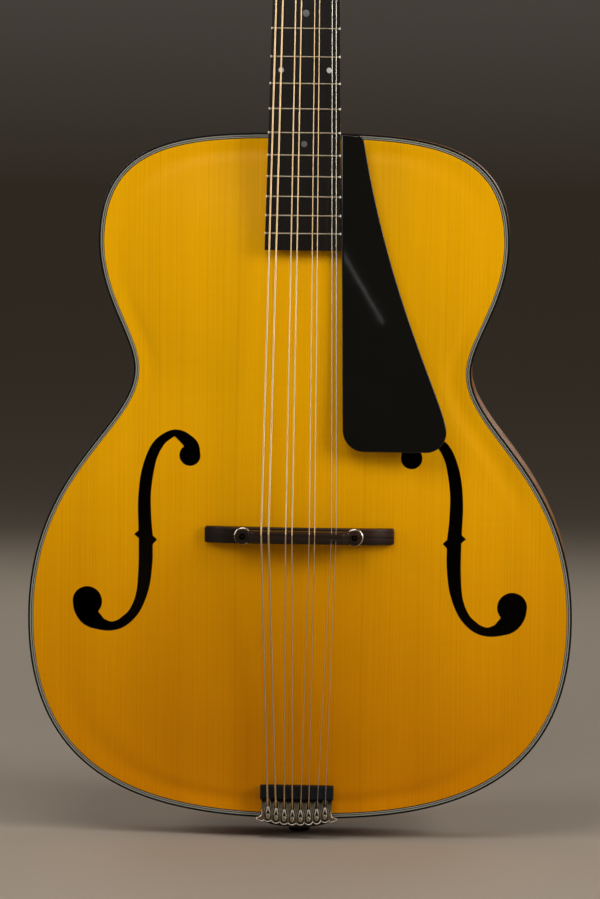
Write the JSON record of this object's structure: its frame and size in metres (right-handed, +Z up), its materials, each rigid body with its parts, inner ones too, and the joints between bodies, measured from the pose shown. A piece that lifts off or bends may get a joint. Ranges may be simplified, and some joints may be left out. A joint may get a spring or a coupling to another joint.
{
  "type": "octave mandolin",
  "caption": "Carved-top octave mandolin with f-holes, doubled strings, adjustable bridge, short tailpiece, raised pickguard and open-gear tuners.",
  "frame": {"origin": "centre of the strap button's end face", "axes": "+Z up the neck, -Y is the front, +X is the treble side as seen from the front"},
  "size_m": [0.357, 0.13, 0.9322],
  "materials": {
    "spruce_top": "gloss amber varnish",
    "maple_body": "gloss orange-amber varnish",
    "inner_wood": "bare",
    "maple_neck": "satin varnish",
    "ebony": "oiled",
    "black_binding": "polished",
    "white_purfling": "polished, black and white lines",
    "black_guard": "polished",
    "bone": "bone",
    "nickel": "nickel plated",
    "brass": "turned",
    "steel": "drawn",
    "bronze_string": "wound bronze",
    "plain_string": "plain steel",
    "rubber": "matt"
  },
  "bodies": {
    "instrument": {"top_plate": "spruce_top", "back_plate": "maple_body", "rib_bass": "maple_body", "rib_treble": "maple_body", "neck_block": "inner_wood", "tail_block": "inner_wood", "lining_top_bass": "inner_wood", "lining_top_treble": "inner_wood", "lining_back_bass": "inner_wood", "lining_back_treble": "inner_wood", "tone_bar_bass": "inner_wood", "tone_bar_treble": "inner_wood", "binding_top": "black_binding", "binding_back": "black_binding", "purfling_top": "white_purfling", "neck": "maple_neck", "truss_rod": "steel", "truss_rod_cover": "ebony", "heel_cap": "ebony", "headstock_overlay": "ebony", "nut": "bone", "fingerboard": "ebony", "bridge_base": "ebony", "bridge_post_bass": "brass", "bridge_post_treble": "brass", "pickguard": "black_guard", "pickguard_block": "ebony", "tailpiece": "nickel", "string_damper": "rubber", "strap_button": "ebony", "string_g1": "bronze_string", "string_g2": "bronze_string", "string_d1": "bronze_string", "string_d2": "bronze_string", "string_a1": "bronze_string", "string_a2": "bronze_string", "string_e1": "plain_string", "string_e2": "plain_string", "tuner_plate_bass": "nickel", "tuner_plate_treble": "nickel"},
    "saddle": {"bridge_saddle": "ebony"},
    "wheel_bass": {"thumbwheel_bass": "nickel"},
    "wheel_treble": {"thumbwheel_treble": "nickel"},
    "rod_nut": {"truss_rod_nut": "brass"},
    "key_bass_1": {"tuner_key_bass_1": "nickel"},
    "post_bass_1": {"tuner_post_bass_1": "nickel"},
    "key_bass_2": {"tuner_key_bass_2": "nickel"},
    "post_bass_2": {"tuner_post_bass_2": "nickel"},
    "key_bass_3": {"tuner_key_bass_3": "nickel"},
    "post_bass_3": {"tuner_post_bass_3": "nickel"},
    "key_bass_4": {"tuner_key_bass_4": "nickel"},
    "post_bass_4": {"tuner_post_bass_4": "nickel"},
    "key_treble_1": {"tuner_key_treble_1": "nickel"},
    "post_treble_1": {"tuner_post_treble_1": "nickel"},
    "key_treble_2": {"tuner_key_treble_2": "nickel"},
    "post_treble_2": {"tuner_post_treble_2": "nickel"},
    "key_treble_3": {"tuner_key_treble_3": "nickel"},
    "post_treble_3": {"tuner_post_treble_3": "nickel"},
    "key_treble_4": {"tuner_key_treble_4": "nickel"},
    "post_treble_4": {"tuner_post_treble_4": "nickel"}
  },
  "joints": [
    {"name": "saddle_lift", "type": "slide", "parent": "instrument", "child": "saddle", "axis": [0, -1, 0], "range_m": [-0.0015, 0.003], "deforming": ["string_g1", "string_g2", "string_d1", "string_d2", "string_a1", "string_a2", "string_e1", "string_e2"]},
    {"name": "thumbwheel_bass_turn", "type": "hinge", "parent": "saddle", "child": "wheel_bass", "pos_m": [-0.03645, -0.064, 0.20097], "axis": [0, -1, 0], "range_deg": [-684, 1368]},
    {"name": "thumbwheel_treble_turn", "type": "hinge", "parent": "saddle", "child": "wheel_treble", "pos_m": [0.03645, -0.064, 0.20097], "axis": [0, -1, 0], "range_deg": [-684, 1368]},
    {"name": "truss_rod_nut_turn", "type": "hinge", "parent": "instrument", "child": "rod_nut", "pos_m": [0, -0.02005, 0.79397], "axis": [0, 0.0656, 0.9978], "range_deg": [-180, 180]},
    {"name": "key_bass_1_turn", "type": "hinge", "parent": "instrument", "child": "key_bass_1", "pos_m": [-0.0175, 0.00286, 0.82253], "axis": [1, 0, 0], "continuous": true},
    {"name": "post_bass_1_turn", "type": "hinge", "parent": "instrument", "child": "post_bass_1", "pos_m": [-0.0175, 0.00066, 0.81567], "axis": [0, -0.9523, 0.305], "continuous": true},
    {"name": "key_bass_2_turn", "type": "hinge", "parent": "instrument", "child": "key_bass_2", "pos_m": [-0.0175, 0.00991, 0.84453], "axis": [1, 0, 0], "continuous": true},
    {"name": "post_bass_2_turn", "type": "hinge", "parent": "instrument", "child": "post_bass_2", "pos_m": [-0.0175, 0.00771, 0.83767], "axis": [0, -0.9523, 0.305], "continuous": true},
    {"name": "key_bass_3_turn", "type": "hinge", "parent": "instrument", "child": "key_bass_3", "pos_m": [-0.0175, 0.01695, 0.86653], "axis": [1, 0, 0], "continuous": true},
    {"name": "post_bass_3_turn", "type": "hinge", "parent": "instrument", "child": "post_bass_3", "pos_m": [-0.0175, 0.01476, 0.85967], "axis": [0, -0.9523, 0.305], "continuous": true},
    {"name": "key_bass_4_turn", "type": "hinge", "parent": "instrument", "child": "key_bass_4", "pos_m": [-0.0175, 0.024, 0.88853], "axis": [1, 0, 0], "continuous": true},
    {"name": "post_bass_4_turn", "type": "hinge", "parent": "instrument", "child": "post_bass_4", "pos_m": [-0.0175, 0.0218, 0.88167], "axis": [0, -0.9523, 0.305], "continuous": true},
    {"name": "key_treble_1_turn", "type": "hinge", "parent": "instrument", "child": "key_treble_1", "pos_m": [0.0175, 0.00286, 0.82253], "axis": [1, 0, 0], "continuous": true},
    {"name": "post_treble_1_turn", "type": "hinge", "parent": "instrument", "child": "post_treble_1", "pos_m": [0.0175, 0.00066, 0.81567], "axis": [0, -0.9523, 0.305], "continuous": true},
    {"name": "key_treble_2_turn", "type": "hinge", "parent": "instrument", "child": "key_treble_2", "pos_m": [0.0175, 0.00991, 0.84453], "axis": [1, 0, 0], "continuous": true},
    {"name": "post_treble_2_turn", "type": "hinge", "parent": "instrument", "child": "post_treble_2", "pos_m": [0.0175, 0.00771, 0.83767], "axis": [0, -0.9523, 0.305], "continuous": true},
    {"name": "key_treble_3_turn", "type": "hinge", "parent": "instrument", "child": "key_treble_3", "pos_m": [0.0175, 0.01695, 0.86653], "axis": [1, 0, 0], "continuous": true},
    {"name": "post_treble_3_turn", "type": "hinge", "parent": "instrument", "child": "post_treble_3", "pos_m": [0.0175, 0.01476, 0.85967], "axis": [0, -0.9523, 0.305], "continuous": true},
    {"name": "key_treble_4_turn", "type": "hinge", "parent": "instrument", "child": "key_treble_4", "pos_m": [0.0175, 0.024, 0.88853], "axis": [1, 0, 0], "continuous": true},
    {"name": "post_treble_4_turn", "type": "hinge", "parent": "instrument", "child": "post_treble_4", "pos_m": [0.0175, 0.0218, 0.88167], "axis": [0, -0.9523, 0.305], "continuous": true}
  ],
  "couplings": [
    {"joint": "thumbwheel_bass_turn", "follows": "saddle_lift", "rad_per_m": 7953.4},
    {"joint": "thumbwheel_treble_turn", "follows": "saddle_lift", "rad_per_m": 7953.4},
    {"joint": "post_bass_1_turn", "follows": "key_bass_1_turn", "ratio": 0.071429},
    {"joint": "post_bass_2_turn", "follows": "key_bass_2_turn", "ratio": 0.071429},
    {"joint": "post_bass_3_turn", "follows": "key_bass_3_turn", "ratio": 0.071429},
    {"joint": "post_bass_4_turn", "follows": "key_bass_4_turn", "ratio": 0.071429},
    {"joint": "post_treble_1_turn", "follows": "key_treble_1_turn", "ratio": 0.071429},
    {"joint": "post_treble_2_turn", "follows": "key_treble_2_turn", "ratio": 0.071429},
    {"joint": "post_treble_3_turn", "follows": "key_treble_3_turn", "ratio": 0.071429},
    {"joint": "post_treble_4_turn", "follows": "key_treble_4_turn", "ratio": 0.071429}
  ]
}
